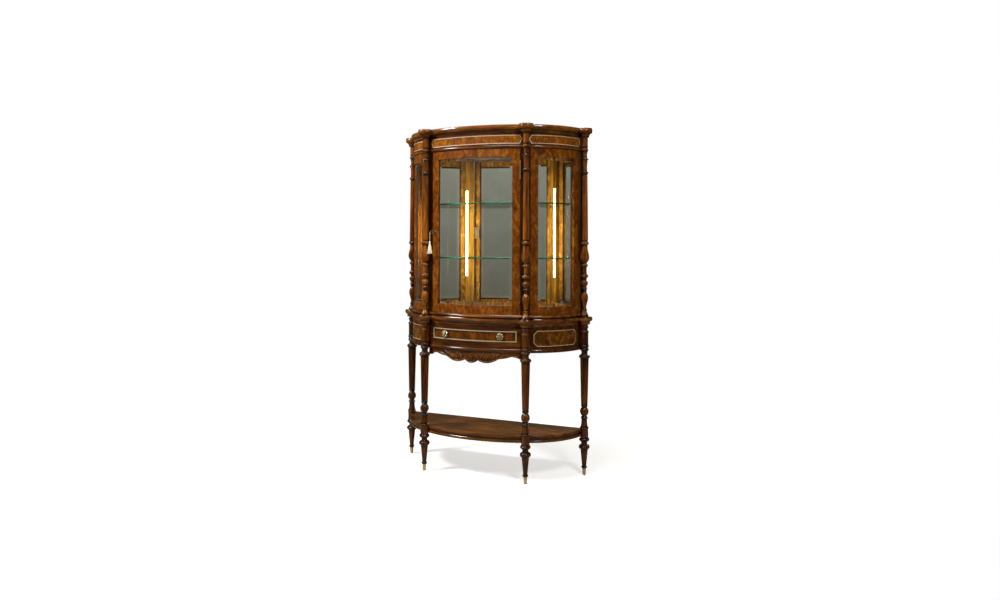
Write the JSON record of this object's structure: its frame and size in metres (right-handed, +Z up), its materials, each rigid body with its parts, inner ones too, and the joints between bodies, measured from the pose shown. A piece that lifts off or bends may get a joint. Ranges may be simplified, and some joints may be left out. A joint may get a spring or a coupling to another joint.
{
  "type": "bow-front display cabinet",
  "caption": "Bow-fronted demilune glazed display cabinet with turned columns and a hinged door, on a console stand with turned legs, a drawer and an undershelf.",
  "frame": {"origin": "floor level under the middle of the bounding box", "axes": "+Z up, -Y out of the front, +X to the viewer's right as seen from the front"},
  "size_m": [1.164, 0.3641, 1.9],
  "materials": {
    "polished_walnut": "glossy lacquer over dark reddish-brown walnut",
    "figured_veneer": "glossy lacquer over figured golden-brown veneer",
    "drawer_lining_wood": "plain waxed secondary wood",
    "antique_brass": "aged, softly polished brass",
    "clear_glass": "clear float glass with a green edge",
    "silvered_mirror": "silvered mirror glass",
    "led_diffuser": "warm white diffuser",
    "black_rubber": "matt",
    "ivory_thread": "soft twisted thread"
  },
  "bodies": {
    "cabinet": {"leg_front_left": "polished_walnut", "leg_front_right": "polished_walnut", "leg_back_left": "polished_walnut", "leg_back_right": "polished_walnut", "ferrules": "antique_brass", "undershelf": "polished_walnut", "console_top": "polished_walnut", "base_rail_upper": "figured_veneer", "base_rail_lower": "figured_veneer", "drawer_opening_stiles": "figured_veneer", "base_panel_left": "figured_veneer", "base_panel_right": "figured_veneer", "base_back_rail": "drawer_lining_wood", "apron": "polished_walnut", "drawer_runners": "drawer_lining_wood", "plinth": "polished_walnut", "crown": "polished_walnut", "crown_frieze_panels": "figured_veneer", "crown_bead": "polished_walnut", "ceiling_board": "polished_walnut", "crown_back_rail": "drawer_lining_wood", "column_front_left": "polished_walnut", "column_front_right": "polished_walnut", "column_back_left": "polished_walnut", "column_back_right": "polished_walnut", "post_front_left": "polished_walnut", "post_front_right": "polished_walnut", "posts_back": "polished_walnut", "back_panel": "drawer_lining_wood", "mirror": "silvered_mirror", "side_frame_left": "figured_veneer", "side_frame_right": "figured_veneer", "side_glass_left": "clear_glass", "side_glass_right": "clear_glass", "side_glazing_beads": "polished_walnut", "glass_shelf_upper": "clear_glass", "glass_shelf_lower": "clear_glass", "shelf_pins": "antique_brass", "led_strips": "led_diffuser", "cable_grommet": "black_rubber", "hinge_frame_leaves": "antique_brass", "hinge_pins": "antique_brass", "strike_plate": "antique_brass"},
    "door": {"door_stiles": "figured_veneer", "door_rails": "figured_veneer", "door_glass": "clear_glass", "door_glazing_beads": "polished_walnut", "hinge_door_leaves": "antique_brass", "lock_case": "antique_brass", "escutcheon": "antique_brass"},
    "bolt": {"lock_bolt": "antique_brass"},
    "key": {"key": "antique_brass"},
    "tassel": {"tassel_cord": "ivory_thread", "tassel": "ivory_thread"},
    "drawer": {"drawer_front": "figured_veneer", "drawer_box": "drawer_lining_wood", "drawer_bottom": "drawer_lining_wood", "drawer_bead": "antique_brass", "drawer_knobs": "antique_brass"}
  },
  "joints": [
    {"name": "door_hinge", "type": "hinge", "parent": "cabinet", "child": "door", "pos_m": [0.26319, -0.12031, 1.3295], "axis": [0, 0, 1], "range_deg": [0, 100]},
    {"name": "drawer_slide", "type": "slide", "parent": "cabinet", "child": "drawer", "axis": [0, -1, 0], "range_m": [0, 0.17]},
    {"name": "key_turn", "type": "hinge", "parent": "door", "child": "key", "pos_m": [-0.25857, -0.15394, 1.328], "axis": [-0.3548, -0.9349, 0], "range_deg": [0, 90]},
    {"name": "bolt_slide", "type": "slide", "parent": "door", "child": "bolt", "axis": [-0.9349, 0.3548, 0], "range_m": [0, 0.0085]},
    {"name": "tassel_swing", "type": "hinge", "parent": "key", "child": "tassel", "pos_m": [-0.25857, -0.15394, 1.328], "axis": [-0.3548, -0.9349, 0], "range_deg": [-90, 0]}
  ],
  "couplings": [
    {"joint": "bolt_slide", "follows": "key_turn", "m_per_rad": 0.005406},
    {"joint": "tassel_swing", "follows": "key_turn", "ratio": -0.9999}
  ]
}
